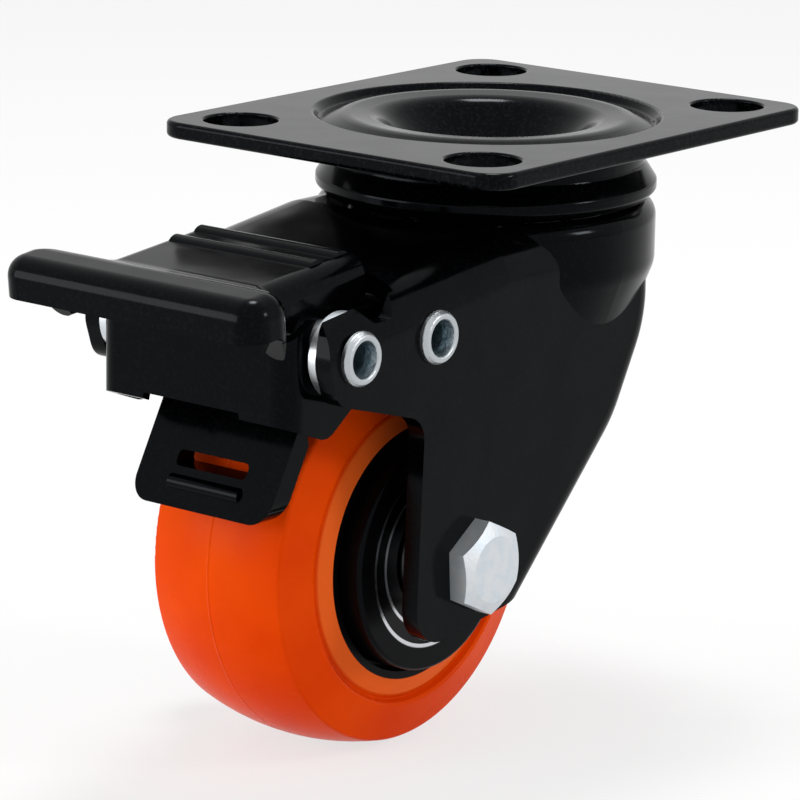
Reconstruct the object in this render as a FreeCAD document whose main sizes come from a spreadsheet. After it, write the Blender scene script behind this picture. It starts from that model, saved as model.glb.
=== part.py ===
import FreeCAD, Part
import math
import os
from types import SimpleNamespace
import Sketcher
from FreeCAD import Placement, Rotation, Vector

os.makedirs("parts", exist_ok=True)

# Swivel castor with a pressed top plate, a double ball race, a forged-look steel fork,
# a soft tyre on a plastic core with two ball bearings, and a foot brake in the fork's ears.
# The origin is the middle of the plate's top face, on the swivel axis. +Z is up, +X runs
# along the axle to the bolt's head, and -Y is the trailing side, with the wheel and pedal.
# All lengths are in millimetres and all angles in degrees.

SIZES = {
    # Top plate: outline, bolt holes and the round pressing in its middle.
    "plate_across": 51.0,
    "plate_along": 62.0,
    "plate_sheet": 2.0,
    "plate_corner": 3.8,
    "plate_edge": 0.5,
    "bolt_inset_across": 7.5,
    "bolt_inset_along": 7.0,
    "bolt_hole": 8.8,
    "bolt_hole_edge": 0.3,
    "dish_margin": 4.2,
    "dish_groove_step": 1.3,
    "dish_groove_depth": 1.1,
    "dish_crest_shift": 0.5,
    "dish_crest_round": 0.43,
    "dish_lip_step": 1.1,
    "dish_funnel_run": 4.6,
    "dish_depth": 5.4,
    # Swivel head: the pin, two rings of balls and their races.
    "pin_shank": 4.0,
    "pin_shoulder": 5.6,
    "pin_head": 6.2,
    "pin_head_height": 1.6,
    "race_sheet": 1.2,
    "race_bore": 14.1,
    "race_wall": 19.0,
    "race_flare": 20.4,
    "race_bottom": 9.2,
    "upper_ball": 3.1,
    "upper_ball_ring": 14.3,
    "lower_ball": 2.0,
    "lower_ball_ring": 9.0,
    "lower_race_sheet": 1.5,
    "lower_race_rim": 12.6,
    "ball_gap": 0.3,
    "ball_seat_gap": 0.05,
    # Fork: pressed from one sheet, with a drawn neck, a hood, two ears and two legs.
    "fork_sheet": 2.2,
    "fork_width": 36.4,
    "neck_radius": 20.4,
    "neck_edge": 2.2,
    "crown_drop": 9.6,
    "neck_drop": 17.2,
    "blend_drop": 24.0,
    "hood_start": 19.0,
    "hood_front": 37.2,
    "hood_fall": 2.3,
    "hood_edge": 6.0,
    "back_edge": 3.2,
    "back_flange": 5.4,
    "foot_gap": 0.35,
    # Wheel: its axle line, tyre, core and bearings.
    "trail": 23.9,
    "wheel_top": 23.13,
    "wheel_offset": 1.6,
    "hub_gap": 2.3,
    "hub_step": 2.7,
    "tyre_step": 0.1,
    "tread_taper": 1.53,
    "tread_depth": 7.47,
    "tread_arc": 31.8,
    "shoulder_round": 0.5,
    "tyre_edge_rise": 0.6,
    "tyre_dish_rise": 0.9,
    "tyre_dish_step": 0.7,
    "hub_wall": 2.7,
    "core_web": 1.5,
    "seat_rise": 1.6,
    "seat_step": 2.4,
    "bearing_radius": 11.0,
    "bearing_width": 7.0,
    "bearing_sink": 0.1,
    "bearing_ball_fill": 0.2714,
    "bearing_land": 0.4,
    "spacer_step": 0.2,
    # Axle bolt, its lock nut and the tube that the bearings sit on.
    "axle_bolt": 3.0,
    "tube_wall": 1.0,
    "head_flats": 9.8,
    "head_height": 2.9,
    "head_turn": 3.7,
    "head_face": 3.9,
    "head_slope": 0.5,
    "nut_height": 4.0,
    "nut_collar": 1.8,
    "bolt_overhang": 6.8,
    # Rivets through the ears and the tubes round them.
    "rivet_radius": 2.5,
    "rivet_bore": 1.8,
    "rivet_head": 3.1,
    "rivet_proud": 1.0,
    "front_rivet_y": 45.7,
    "front_rivet_z": 19.2,
    "rear_rivet_y": 32.0,
    "rear_rivet_z": 19.1,
    "pivot_tube": 3.5,
    "rear_tube": 3.2,
    "washer_radius": 4.9,
    "washer_chamfer": 0.5,
    # Pedal: its own frame has the pivot at the origin and is tipped by pedal_tilt.
    "pedal_sheet": 1.5,
    "cheek_gap": 0.6,
    "pedal_top": 8.9,
    "pedal_rear": 8.5,
    "pedal_front": 17.9,
    "pedal_neck": 7.8,
    "lip_overhang": 0.6,
    "lip_depth": 5.7,
    "lip_rise": 1.9,
    "lip_edge": 6.1,
    "lobe_edge": 2.4,
    "pedal_edge": 2.4,
    "pedal_tilt": 5.5,
    "ridge_radius": 1.6,
    "ridge_rise": 0.5,
    "ridge_inset": 2.0,
    "cam_pin": 0.9,
    "cam_ahead": 4.23,
    "cam_below": 2.2,
    # Brake shoe: the channel between the ears and the blade below it.
    "channel_gap": 1.8,
    "channel_sheet": 1.2,
    "channel_front": 53.0,
    "notch_inset": 2.2,
    "blade_sheet": 1.8,
    "blade_inset": 4.0,
    "blade_reach": 3.83,
    "blade_foot": 15.67,
    "blade_floor": 23.0,
    "blade_bend_inset": 4.87,
    "blade_hem": 0.9,
    "blade_hem_rise": 8.2,
    "slot_half": 5.2,
    "spring_half": 4.0,
    "spring_sheet": 0.6,
    # Clearances.
    "running_gap": 0.08,
    "clear_gap": 0.3,
}


class Size:
    """A length that knows its value and the sheet expression that gives it."""

    def __init__(self, value, text):
        self.value = float(value)
        self.text = text

    def __neg__(self):
        return Size(-self.value, f"(-{self.text})")

    def __add__(self, other):
        other = as_size(other)
        return Size(self.value + other.value, f"({self.text} + {other.text})")

    def __sub__(self, other):
        other = as_size(other)
        return Size(self.value - other.value, f"({self.text} - {other.text})")

    def __mul__(self, other):
        other = as_size(other)
        return Size(self.value * other.value, f"({self.text} * {other.text})")

    def __truediv__(self, other):
        other = as_size(other)
        return Size(self.value / other.value, f"({self.text} / {other.text})")

    __radd__ = __add__
    __rmul__ = __mul__

    def __rsub__(self, other):
        return as_size(other) - self


def as_size(number):
    """Return a Size for a plain number, and a Size unchanged."""
    if isinstance(number, Size):
        return number
    return Size(number, f"{float(number):.6f}" if number >= 0 else f"(-{abs(float(number)):.6f})")


def root(size):
    """Square root of a Size."""
    size = as_size(size)
    return Size(math.sqrt(size.value), f"sqrt({size.text})")


doc = FreeCAD.newDocument("castor")
sheet = doc.addObject("Spreadsheet::Sheet", "sizes")
for row, (alias, amount) in enumerate(SIZES.items(), start=1):
    sheet.set(f"A{row}", alias)
    sheet.set(f"B{row}", str(amount))
    sheet.setAlias(f"B{row}", alias)
doc.recompute()
d = SimpleNamespace(**{alias: Size(amount, f"sizes.{alias}") for alias, amount in SIZES.items()})

# Sizes that follow from others, so that neighbours stay together when one of them changes.
d.bolt_across = d.plate_across - 2 * d.bolt_inset_across
d.bolt_along = d.plate_along - 2 * d.bolt_inset_along
d.dish_rim = d.plate_across / 2 - d.dish_margin
d.dish_groove = d.dish_rim - d.dish_groove_step
d.dish_lip = d.race_bore - d.dish_lip_step
d.dish_floor = d.dish_lip - d.dish_funnel_run
d.dish_crest = (d.dish_lip + d.dish_groove) / 2 + d.dish_crest_shift
d.inside = d.fork_width / 2 - d.fork_sheet
d.bearing_bore = d.axle_bolt + d.tube_wall
d.bearing_pitch = (d.bearing_radius + d.bearing_bore) / 2 + 0.1
d.bearing_ball = (d.bearing_radius - d.bearing_bore) * d.bearing_ball_fill
d.outer_land = d.bearing_pitch + d.bearing_ball - d.bearing_land
d.inner_land = d.bearing_pitch - d.bearing_ball + d.bearing_land
d.spacer_radius = d.inner_land - d.spacer_step
d.hub_radius = d.bearing_radius + d.hub_wall
d.core_radius = d.hub_radius + d.core_web
d.core_seat = d.core_radius + d.seat_rise
d.wheel_radius = d.core_seat + d.tread_depth
d.axle_drop = d.wheel_top + d.wheel_radius
d.hub_half = d.inside - d.hub_gap
d.bearing_face = d.hub_half - d.bearing_sink
d.core_half = d.hub_half - d.hub_step
d.tyre_half = d.core_half - d.tyre_step
d.tread_half = d.tyre_half - d.tread_taper
d.bolt_end = d.fork_width / 2 + d.bolt_overhang
d.channel_half = d.inside - d.channel_gap
d.pedal_half = d.channel_half - d.channel_sheet - d.cheek_gap
d.ridge_half = d.pedal_half - d.ridge_inset
d.lip_half = d.fork_width / 2 + d.lip_overhang
d.blade_half = d.channel_half - d.blade_inset

nodes = {}


def new_body(name):
    """Start a body whose label names the piece."""
    body = doc.addObject("PartDesign::Body", name)
    body.Label = name
    return body


def bind(item, path, size):
    """Tie one property of an object to the sheet."""
    item.setExpression(path, as_size(size).text)


def put(item, x=0.0, y=0.0, z=0.0, axis=None, angle=0.0):
    """Place an object at x, y, z, turned by angle about an axis."""
    turn = Rotation(axis, as_size(angle).value) if axis else Rotation()
    spot = Vector(as_size(x).value, as_size(y).value, as_size(z).value)
    item.Placement = Placement(spot, turn)
    for letter, amount in zip("xyz", (x, y, z)):
        bind(item, f".Placement.Base.{letter}", amount)
    if axis:
        bind(item, ".Placement.Rotation.Angle", angle)
    return item


def sketch_on(body, plane, name):
    """Start a sketch on one of the body's own origin planes."""
    sketch = body.newObject("Sketcher::SketchObject", name)
    support = next(item for item in body.Origin.OriginFeatures if item.Role == plane)
    sketch.AttachmentSupport = [(support, "")]
    sketch.MapMode = "FlatFace"
    return sketch


def hold(sketch, kind, geometry, corner, amount):
    """Hold one coordinate of a sketch point, tied to the sheet."""
    amount = as_size(amount)
    rule = Sketcher.Constraint(kind, -1, 1, geometry, corner, amount.value)
    index = sketch.addConstraint(rule)
    sketch.setExpression(f"Constraints[{index}]", amount.text)


def hold_point(sketch, geometry, corner, x, y):
    """Hold both coordinates of a sketch point."""
    hold(sketch, "DistanceX", geometry, corner, x)
    hold(sketch, "DistanceY", geometry, corner, y)


def hold_radius(sketch, geometry, radius):
    """Hold an arc's or a circle's radius."""
    radius = as_size(radius)
    index = sketch.addConstraint(Sketcher.Constraint("Radius", geometry, radius.value))
    sketch.setExpression(f"Constraints[{index}]", radius.text)


def circle(sketch, x, y, radius):
    """Draw a circle whose middle and radius are tied to the sheet."""
    middle = Vector(as_size(x).value, as_size(y).value, 0)
    ring = Part.Circle(middle, Vector(0, 0, 1), as_size(radius).value)
    index = sketch.addGeometry(ring, False)
    hold_point(sketch, index, 3, x, y)
    hold_radius(sketch, index, radius)


def corner_turn(before, here, after, radius):
    """Work out where a rounded corner starts and ends, its middle and its sense."""
    into = (here - before).normalize()
    out = (after - here).normalize()
    cross = into.x * out.y - into.y * out.x
    turn = math.acos(max(-1.0, min(1.0, into.dot(out))))
    reach = radius * math.tan(turn / 2)
    start = here - into * reach
    finish = here + out * reach
    side = 1.0 if cross > 0 else -1.0
    middle = start + Vector(-into.y, into.x, 0) * radius * side
    return start, finish, middle, cross > 0


def outline(sketch, corners):
    """Draw a closed outline through corners given as (x, y) or (x, y, radius)."""
    points = [Vector(as_size(c[0]).value, as_size(c[1]).value, 0) for c in corners]
    count = len(points)
    turns = []
    for i, corner in enumerate(corners):
        if len(corner) > 2:
            radius = as_size(corner[2]).value
            turns.append(corner_turn(points[i - 1], points[i], points[(i + 1) % count], radius))
        else:
            turns.append((points[i], points[i], None, None))
    lines = []
    for i in range(count):
        run = Part.LineSegment(turns[i][1], turns[(i + 1) % count][0])
        lines.append(sketch.addGeometry(run, False))
    for i, corner in enumerate(corners):
        before = lines[i - 1]
        after = lines[i]
        if len(corner) == 2:
            sketch.addConstraint(Sketcher.Constraint("Coincident", before, 2, after, 1))
            hold_point(sketch, after, 1, corner[0], corner[1])
        else:
            round_corner(sketch, corner, points[i], turns[i], before, after)


def round_corner(sketch, corner, point, turn, before, after):
    """Draw one rounded corner between two lines that meet at a held point."""
    start, finish, middle, leftward = turn
    first, last = (start, finish) if leftward else (finish, start)
    from_angle = math.atan2(first.y - middle.y, first.x - middle.x)
    to_angle = math.atan2(last.y - middle.y, last.x - middle.x)
    if to_angle < from_angle:
        to_angle += 2 * math.pi
    ring = Part.Circle(middle, Vector(0, 0, 1), as_size(corner[2]).value)
    arc = sketch.addGeometry(Part.ArcOfCircle(ring, from_angle, to_angle), False)
    mark = sketch.addGeometry(Part.Point(point), True)
    hold_point(sketch, mark, 1, corner[0], corner[1])
    sketch.addConstraint(Sketcher.Constraint("PointOnObject", mark, 1, before))
    sketch.addConstraint(Sketcher.Constraint("PointOnObject", mark, 1, after))
    ends = (1, 2) if leftward else (2, 1)
    sketch.addConstraint(Sketcher.Constraint("Tangent", before, 2, arc, ends[0]))
    sketch.addConstraint(Sketcher.Constraint("Tangent", arc, ends[1], after, 1))
    hold_radius(sketch, arc, corner[2])


def pad_across(body, sketch, width, name):
    """Pad a sketch to both sides of its plane."""
    pad = body.newObject("PartDesign::Pad", name)
    pad.Profile = sketch
    pad.SideType = "Symmetric"
    bind(pad, "Length", width)
    doc.recompute()
    return pad


def pad_one_way(body, sketch, length, name, reverse=False):
    """Pad a sketch to one side of its plane."""
    pad = body.newObject("PartDesign::Pad", name)
    pad.Profile = sketch
    pad.Reversed = reverse
    bind(pad, "Length", length)
    doc.recompute()
    return pad


def cut_through(body, sketch, name):
    """Cut a sketch right through the body, to both sides, and see that it cuts."""
    before = body.Shape.Volume
    pocket = body.newObject("PartDesign::Pocket", name)
    pocket.Profile = sketch
    pocket.SideType = "Symmetric"
    pocket.Type = "ThroughAll"
    doc.recompute()
    if body.Shape.Volume >= before:
        raise RuntimeError(f"{body.Label}: {name} cuts nothing")
    return pocket


def cut_one_way(body, sketch, name, reverse=False):
    """Cut a sketch right through the body to one side of its plane."""
    before = body.Shape.Volume
    pocket = body.newObject("PartDesign::Pocket", name)
    pocket.Profile = sketch
    pocket.Type = "ThroughAll"
    pocket.Reversed = reverse
    doc.recompute()
    if body.Shape.Volume >= before:
        raise RuntimeError(f"{body.Label}: {name} cuts nothing")
    return pocket


def turn_profile(body, corners, along, name, remove=False):
    """Turn a profile round the body's Z or X axis; corners are (radius, place[, round])."""
    sketch = sketch_on(body, "XZ_Plane", name + "_profile")
    if along == "X":
        corners = [(c[1], c[0]) + tuple(c[2:]) for c in corners]
    outline(sketch, corners)
    kind = "PartDesign::Groove" if remove else "PartDesign::Revolution"
    before = body.Shape.Volume if remove else 0.0
    turned = body.newObject(kind, name)
    turned.Profile = sketch
    turned.ReferenceAxis = (sketch, ["V_Axis" if along == "Z" else "H_Axis"])
    turned.Angle = 360
    doc.recompute()
    if remove and body.Shape.Volume >= before:
        raise RuntimeError(f"{body.Label}: {name} cuts nothing")
    return turned


def round_edges(body, feature, radius, test, name):
    """Round those edges of a feature that pass the test."""
    names = [f"Edge{i}" for i, edge in enumerate(feature.Shape.Edges, start=1) if test(edge)]
    if not names:
        raise RuntimeError(f"{body.Label}: {name} finds no edge")
    fillet = body.newObject("PartDesign::Fillet", name)
    fillet.Base = (feature, names)
    bind(fillet, "Radius", radius)
    doc.recompute()
    return fillet


def turned_piece(name, corners, along="Z"):
    """Make a whole piece as one turned profile."""
    body = new_body(name)
    turn_profile(body, corners, along, name + "_turned")
    nodes[name] = body
    return body


def near(first, second, slack=0.02):
    """Say whether two lengths agree."""
    return abs(first - second) < slack


def ball_ring(name, radius, ring, count, middle, along):
    """Make a ring of balls about an axis, joined in one group of separate solids."""
    balls = []
    for i in range(count):
        ball = doc.addObject("Part::Sphere", f"{name}_{i + 1}")
        bind(ball, "Radius", radius)
        angle = 360.0 * i / count
        across = Size(ring.value * math.cos(math.radians(angle)), f"({ring.text} * cos({angle:.6f} deg))")
        up = Size(ring.value * math.sin(math.radians(angle)), f"({ring.text} * sin({angle:.6f} deg))")
        if along == "Z":
            put(ball, across, up, middle[2])
        else:
            put(ball, middle[0], middle[1] + across, middle[2] + up)
        balls.append(ball)
    group = doc.addObject("Part::Compound", name)
    group.Label = name
    group.Links = balls
    nodes[name] = group


def make_top_plate():
    """Pressed plate with four bolt holes, a round groove, a ball-race crest and a funnel."""
    body = new_body("top_plate")
    half_x = d.plate_across / 2
    half_y = d.plate_along / 2
    sketch = sketch_on(body, "XY_Plane", "plate_outline")
    corners = [(-half_x, -half_y), (half_x, -half_y), (half_x, half_y), (-half_x, half_y)]
    outline(sketch, [(x, y, d.plate_corner) for x, y in corners])
    pad = pad_one_way(body, sketch, d.plate_sheet, "plate_pad", reverse=True)
    round_edges(body, pad, d.plate_edge, lambda edge: near(edge.BoundBox.ZLength, 0, 0.01), "plate_rounds")
    sketch = sketch_on(body, "XY_Plane", "plate_holes")
    for x in (-d.bolt_across / 2, d.bolt_across / 2):
        for y in (-d.bolt_along / 2, d.bolt_along / 2):
            circle(sketch, x, y, d.bolt_hole / 2)
    holes = cut_through(body, sketch, "plate_hole_cut")
    hole_r = d.bolt_hole.value / 2
    round_edges(
        body,
        holes,
        d.bolt_hole_edge,
        lambda edge: hasattr(edge.Curve, "Radius")
        and near(edge.Curve.Radius, hole_r)
        and near(edge.BoundBox.ZMax, 0)
        and near(edge.BoundBox.ZLength, 0, 0.01),
        "hole_rims",
    )
    sketch = sketch_on(body, "XY_Plane", "dish_opening")
    circle(sketch, 0, 0, d.dish_rim)
    cut_through(body, sketch, "dish_opening_cut")
    lap = d.dish_rim + d.plate_edge
    floor_top = -d.dish_depth
    floor_under = floor_top - d.plate_sheet
    turn_profile(
        body,
        [
            (lap, 0),
            (d.dish_rim - d.plate_edge, 0, 0.5),
            (d.dish_groove, -d.dish_groove_depth, 0.6),
            (d.dish_crest, -d.plate_edge / 5, (d.dish_groove - d.dish_lip) * d.dish_crest_round),
            (d.dish_lip, -d.plate_edge, 3.0),
            (d.dish_floor, floor_top, 1.2),
            (d.pin_shank, floor_top),
            (d.pin_shank, floor_under),
            (d.dish_floor + 1.0, floor_under, 1.8),
            (d.dish_lip + 0.7, -d.plate_sheet, 0.6),
            (lap, -d.plate_sheet),
        ],
        "Z",
        "dish",
    )
    nodes["top_plate"] = body


def make_swivel_head():
    """Pin, races and balls that carry the fork under the plate."""
    floor_top = -d.dish_depth
    floor_under = floor_top - d.plate_sheet
    crown_under = -d.crown_drop - d.fork_sheet
    lower_middle = crown_under - d.ball_gap - d.lower_ball
    seat = lower_middle - d.lower_ball - d.ball_seat_gap
    under = seat - d.lower_race_sheet
    turned_piece(
        "king_pin",
        [
            (0, floor_top + d.pin_head_height),
            (d.pin_head * 0.55, floor_top + d.pin_head_height, 3.0),
            (d.pin_head, floor_top + d.pin_head_height / 3, 0.4),
            (d.pin_head, floor_top),
            (d.pin_shank, floor_top),
            (d.pin_shank, floor_under),
            (d.pin_shoulder, floor_under),
            (d.pin_shoulder, seat),
            (d.pin_shank, seat),
            (d.pin_shank, under),
            (d.pin_head, under),
            (d.pin_head, under - d.pin_head_height / 2, 0.4),
            (d.pin_head * 0.6, under - d.pin_head_height, 0.6),
            (0, under - d.pin_head_height),
        ],
    )
    top = -d.plate_sheet
    inner = top - d.race_sheet
    bottom = -d.race_bottom
    turned_piece(
        "upper_race",
        [
            (d.race_bore, top),
            (d.race_wall, top),
            (d.race_wall, bottom + 3.9, 0.8),
            (d.race_flare, bottom + 1.8, 0.6),
            (d.race_flare, bottom + 0.8, 0.5),
            (d.race_flare - 0.7, bottom),
            (d.race_flare - d.race_sheet, bottom),
            (d.race_flare - d.race_sheet, bottom + 1.6),
            (d.race_wall - d.race_sheet, bottom + 3.7, 0.8),
            (d.race_wall - d.race_sheet, inner, 0.5),
            (d.race_bore, inner),
        ],
    )
    upper_middle = inner - d.ball_seat_gap - d.upper_ball
    ball_ring("upper_balls", d.upper_ball, d.upper_ball_ring, 14, (0, 0, upper_middle), "Z")
    ball_ring("lower_balls", d.lower_ball, d.lower_ball_ring, 13, (0, 0, lower_middle), "Z")
    turned_piece(
        "lower_race",
        [
            (d.pin_shank, seat),
            (d.lower_race_rim - d.lower_race_sheet, seat, 0.8),
            (d.lower_race_rim - d.lower_race_sheet, crown_under - 1.2),
            (d.lower_race_rim, crown_under - 1.2),
            (d.lower_race_rim, under, 1.6),
            (d.pin_shank, under),
        ],
    )
    return upper_middle


def inset(points, distance):
    """Shift an open chain of points to its right-hand side by a distance."""
    moved = []
    for i, point in enumerate(points):
        first = points[max(i - 1, 0)]
        last = points[min(i + 1, len(points) - 1)]
        into = (point - first) if i > 0 else (last - point)
        out = (last - point) if i < len(points) - 1 else (point - first)
        into = into.normalize()
        out = out.normalize()
        normal_in = Vector(into.y, -into.x, 0)
        normal_out = Vector(out.y, -out.x, 0)
        mitre = (normal_in + normal_out).normalize()
        moved.append(point + mitre * (distance / mitre.dot(normal_in)))
    return moved


# The fork's back edge, from under the neck to the foot of the leg, as (y, z), and the
# roundings of its two middle corners.
AXLE_Y = -d.trail.value
AXLE_Z = -d.axle_drop.value
BACK_CHAIN = [(10.1, -17.0), (10.3, -24.0), (3.9, -35.7), (AXLE_Y + 10.5, AXLE_Z - 5.5)]
BACK_ROUNDS = [15.0, 17.0]
# The ear, with the notch behind it and the leg's front edge, as (y, z, rounding).
EAR_CORNERS = [
    (-39.6, -15.9, 0.9),
    (-42.4, -15.9, 1.1),
    (-44.9, -13.5, 2.4),
    (-49.8, -14.2, 2.8),
    (-50.7, -19.4, 4.0),
    (-49.2, -24.0, 2.8),
    (-33.8, -28.4, 3.2),
]
FOOT_FRONT = (AXLE_Y - 11.0, AXLE_Z - 8.4)
FOOT_ROUNDS = (4.4, 3.0)


def point_on(first, last, z):
    """Point at height z on the line through two points."""
    share = (z - first[1]) / (last[1] - first[1])
    return (first[0] + share * (last[0] - first[0]), z)


def fork_form(name, gap):
    """Solid form of the fork's outside, or of its inside when gap is the sheet's thickness."""
    body = new_body(name)
    top = -d.crown_drop - gap
    front_top = top - d.hood_fall
    chain = inset([Vector(y, z, 0) for y, z in BACK_CHAIN], as_size(gap).value)
    back = [(point.x, point.y) for point in chain]
    far = AXLE_Z - 20.6
    last = point_on(back[2], back[3], far)
    step = 3.0 - as_size(gap).value
    corners = [(step, top), (-d.hood_start, top), (-d.hood_front, front_top)]
    if as_size(gap).value == 0:
        corners = corners + EAR_CORNERS + [point_on(EAR_CORNERS[-1], FOOT_FRONT, far), last]
    else:
        corners = corners + [(-d.hood_front, -5.0), (-80, -5.0), (-80, far), last]
    corners = corners + [
        back[2] + (BACK_ROUNDS[1] - as_size(gap).value,),
        back[1] + (BACK_ROUNDS[0] - as_size(gap).value,),
        back[0],
        (step, back[0][1]),
    ]
    sketch = sketch_on(body, "YZ_Plane", name + "_side")
    outline(sketch, corners)
    half = d.fork_width / 2 - gap
    pad = pad_across(body, sketch, half * 2, name + "_pad")
    edge_x = half.value
    front_y = -d.hood_front.value
    lowest_top = front_top.value

    def is_top_edge(edge):
        box = edge.BoundBox
        on_side = near(abs(box.XMin), edge_x) and near(box.XLength, 0, 0.01)
        return on_side and box.ZMin > lowest_top - 0.05 and box.YMin > front_y - 0.05 and box.YLength > 1

    def is_back_edge(edge):
        box = edge.BoundBox
        on_side = near(abs(box.XMin), edge_x) and near(box.XLength, 0, 0.01)
        if not on_side or box.ZLength < 1:
            return False
        middle = edge.valueAt((edge.FirstParameter + edge.LastParameter) / 2)
        return middle.y > 0.95 * middle.z + 33

    hood = round_edges(body, pad, d.hood_edge - gap, is_top_edge, name + "_hood_rounds")
    round_edges(body, hood, d.back_edge - gap, is_back_edge, name + "_back_rounds")
    reach = d.neck_radius - gap
    turn_profile(
        body,
        [
            (0, top),
            (reach, top, d.neck_edge - gap * 0.6),
            (reach, -d.neck_drop, 4.0),
            (reach - 2.6, -d.blend_drop),
            (0, -d.blend_drop),
        ],
        "Z",
        name + "_neck",
    )
    return body


def make_fork(upper_middle):
    """Fork: outer form less inner form, then the holes, the open back and the ball track."""
    outer = fork_form("fork_outer", Size(0, "0"))
    sketch = sketch_on(outer, "YZ_Plane", "foot_outline")
    high = AXLE_Z + 2.4
    low = AXLE_Z - 40.0
    outline(
        sketch,
        [
            (-80, high),
            point_on(EAR_CORNERS[-1], FOOT_FRONT, high),
            FOOT_FRONT + (FOOT_ROUNDS[0],),
            BACK_CHAIN[3] + (FOOT_ROUNDS[1],),
            point_on(BACK_CHAIN[2], BACK_CHAIN[3], high),
            (30, high),
            (30, low),
            (-80, low),
        ],
    )
    cut_through(outer, sketch, "foot_cut")
    sketch = sketch_on(outer, "YZ_Plane", "skirt_edge")
    outline(sketch, [(10.5, -d.neck_drop), (30, -d.neck_drop), (30, -30), (10.5, -30)])
    cut_through(outer, sketch, "skirt_cut")
    sketch = sketch_on(outer, "XZ_Plane", "open_back")
    half = d.fork_width / 2 - d.back_flange
    wide = d.inside - d.foot_gap
    below = AXLE_Z - 12.6
    right = [(wide, below), (wide, -32.4), (half, -27.9), (half, -19.5, 8.0)]
    left = [(-x, z) + tuple(rest) for x, z, *rest in reversed(right)]
    outline(sketch, right + left)
    cut_through(outer, sketch, "open_back_cut")
    sketch = sketch_on(outer, "YZ_Plane", "cross_holes")
    circle(sketch, -d.front_rivet_y, -d.front_rivet_z, d.rivet_radius)
    circle(sketch, -d.rear_rivet_y, -d.rear_rivet_z, d.rivet_radius)
    circle(sketch, -d.trail, -d.axle_drop, d.axle_bolt)
    cut_through(outer, sketch, "cross_hole_cut")
    sketch = sketch_on(outer, "XY_Plane", "pin_hole")
    circle(sketch, 0, 0, d.pin_shoulder + d.clear_gap)
    cut_through(outer, sketch, "pin_hole_cut")
    track = outer.newObject("Sketcher::SketchObject", "track_profile")
    support = next(item for item in outer.Origin.OriginFeatures if item.Role == "XZ_Plane")
    track.AttachmentSupport = [(support, "")]
    track.MapMode = "FlatFace"
    circle(track, d.upper_ball_ring, upper_middle, d.upper_ball + d.ball_gap)
    groove = outer.newObject("PartDesign::Groove", "ball_track")
    groove.Profile = track
    groove.ReferenceAxis = (track, ["V_Axis"])
    groove.Angle = 360
    doc.recompute()
    inner = fork_form("fork_inner", d.fork_sheet)
    fork = doc.addObject("Part::Cut", "fork")
    fork.Base = outer
    fork.Tool = inner
    fork.Label = "fork"
    doc.recompute()
    nodes["fork"] = fork


def on_axle(body, across=0):
    """Move a piece that is modelled about its own middle to the axle line."""
    return put(body, across, -d.trail, -d.axle_drop)


def make_wheel():
    """Tyre and core, turned about the axle."""
    lean = (d.tread_half - d.shoulder_round * 0.6) / d.tread_arc
    upright = root(1 - lean * lean)
    crown = d.wheel_radius + d.tread_arc / upright - d.tread_arc
    shoulder = crown - d.tread_half * lean / upright
    dish = d.core_seat + d.tyre_dish_rise
    ledge = d.core_half - d.seat_step
    half_profile = [
        (shoulder, d.tread_half, d.shoulder_round),
        (dish + d.tyre_edge_rise, d.tyre_half, d.shoulder_round),
        (dish, d.tyre_half - d.tyre_dish_step),
        (d.core_radius, d.core_half),
        (d.core_radius, ledge),
        (d.core_seat, ledge),
    ]
    tyre = [(crown, 0, d.tread_arc)] + half_profile + mirrored(half_profile)
    on_axle(turned_piece("tyre", tyre, "X"), -d.wheel_offset)
    inner_face = d.bearing_face - d.bearing_width
    half_core = [
        (d.core_seat, ledge),
        (d.core_radius, ledge),
        (d.core_radius, d.core_half),
        (d.hub_radius + 0.6, d.core_half),
        (d.hub_radius + 0.3, ledge),
        (d.hub_radius, ledge),
        (d.hub_radius, d.hub_half, 0.5),
        (d.bearing_radius, d.hub_half),
        (d.bearing_radius, inner_face),
        (d.bearing_radius - 1.8, inner_face),
    ]
    on_axle(turned_piece("wheel_core", half_core + mirrored(half_core), "X"), -d.wheel_offset)


def mirrored(corners):
    """The same corners of a half profile on the other side, in reverse order."""
    return [(c[0], -c[1]) + tuple(c[2:]) for c in reversed(corners)]


def make_bearing(side, name):
    """Ball bearing on one side of the hub: two rings, seven balls and a shield."""
    far = d.bearing_face
    close = d.bearing_face - d.bearing_width
    middle = (far + close) / 2
    track = d.bearing_ball + 0.05
    seat = d.bearing_radius - 0.5
    shield = 0.3
    outer = turned_piece(
        name + "_outer_ring",
        [
            (d.bearing_radius, side * close),
            (d.bearing_radius, side * far),
            (seat, side * far),
            (seat, side * (far - shield - 0.3)),
            (d.outer_land, side * (far - shield - 0.3)),
            (d.outer_land, side * close),
        ],
        "X",
    )
    track_cut(outer, side * middle, d.bearing_pitch, track)
    inner = turned_piece(
        name + "_inner_ring",
        [
            (d.bearing_bore, side * close),
            (d.bearing_bore, side * far),
            (d.inner_land, side * far),
            (d.inner_land, side * close),
        ],
        "X",
    )
    track_cut(inner, side * middle, d.bearing_pitch, d.bearing_ball + d.ball_gap)
    on_axle(outer, -d.wheel_offset)
    on_axle(inner, -d.wheel_offset)
    ball_ring(
        name + "_balls",
        d.bearing_ball,
        d.bearing_pitch,
        7,
        (side * middle - d.wheel_offset, -d.trail, -d.axle_drop),
        "X",
    )
    cover = turned_piece(
        name + "_shield",
        [
            (seat, side * (far - 0.3)),
            (seat, side * (far - 0.3 - shield)),
            (d.inner_land + d.clear_gap, side * (far - 0.3 - shield)),
            (d.inner_land + d.clear_gap, side * (far - 0.3)),
        ],
        "X",
    )
    on_axle(cover, -d.wheel_offset)


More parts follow.
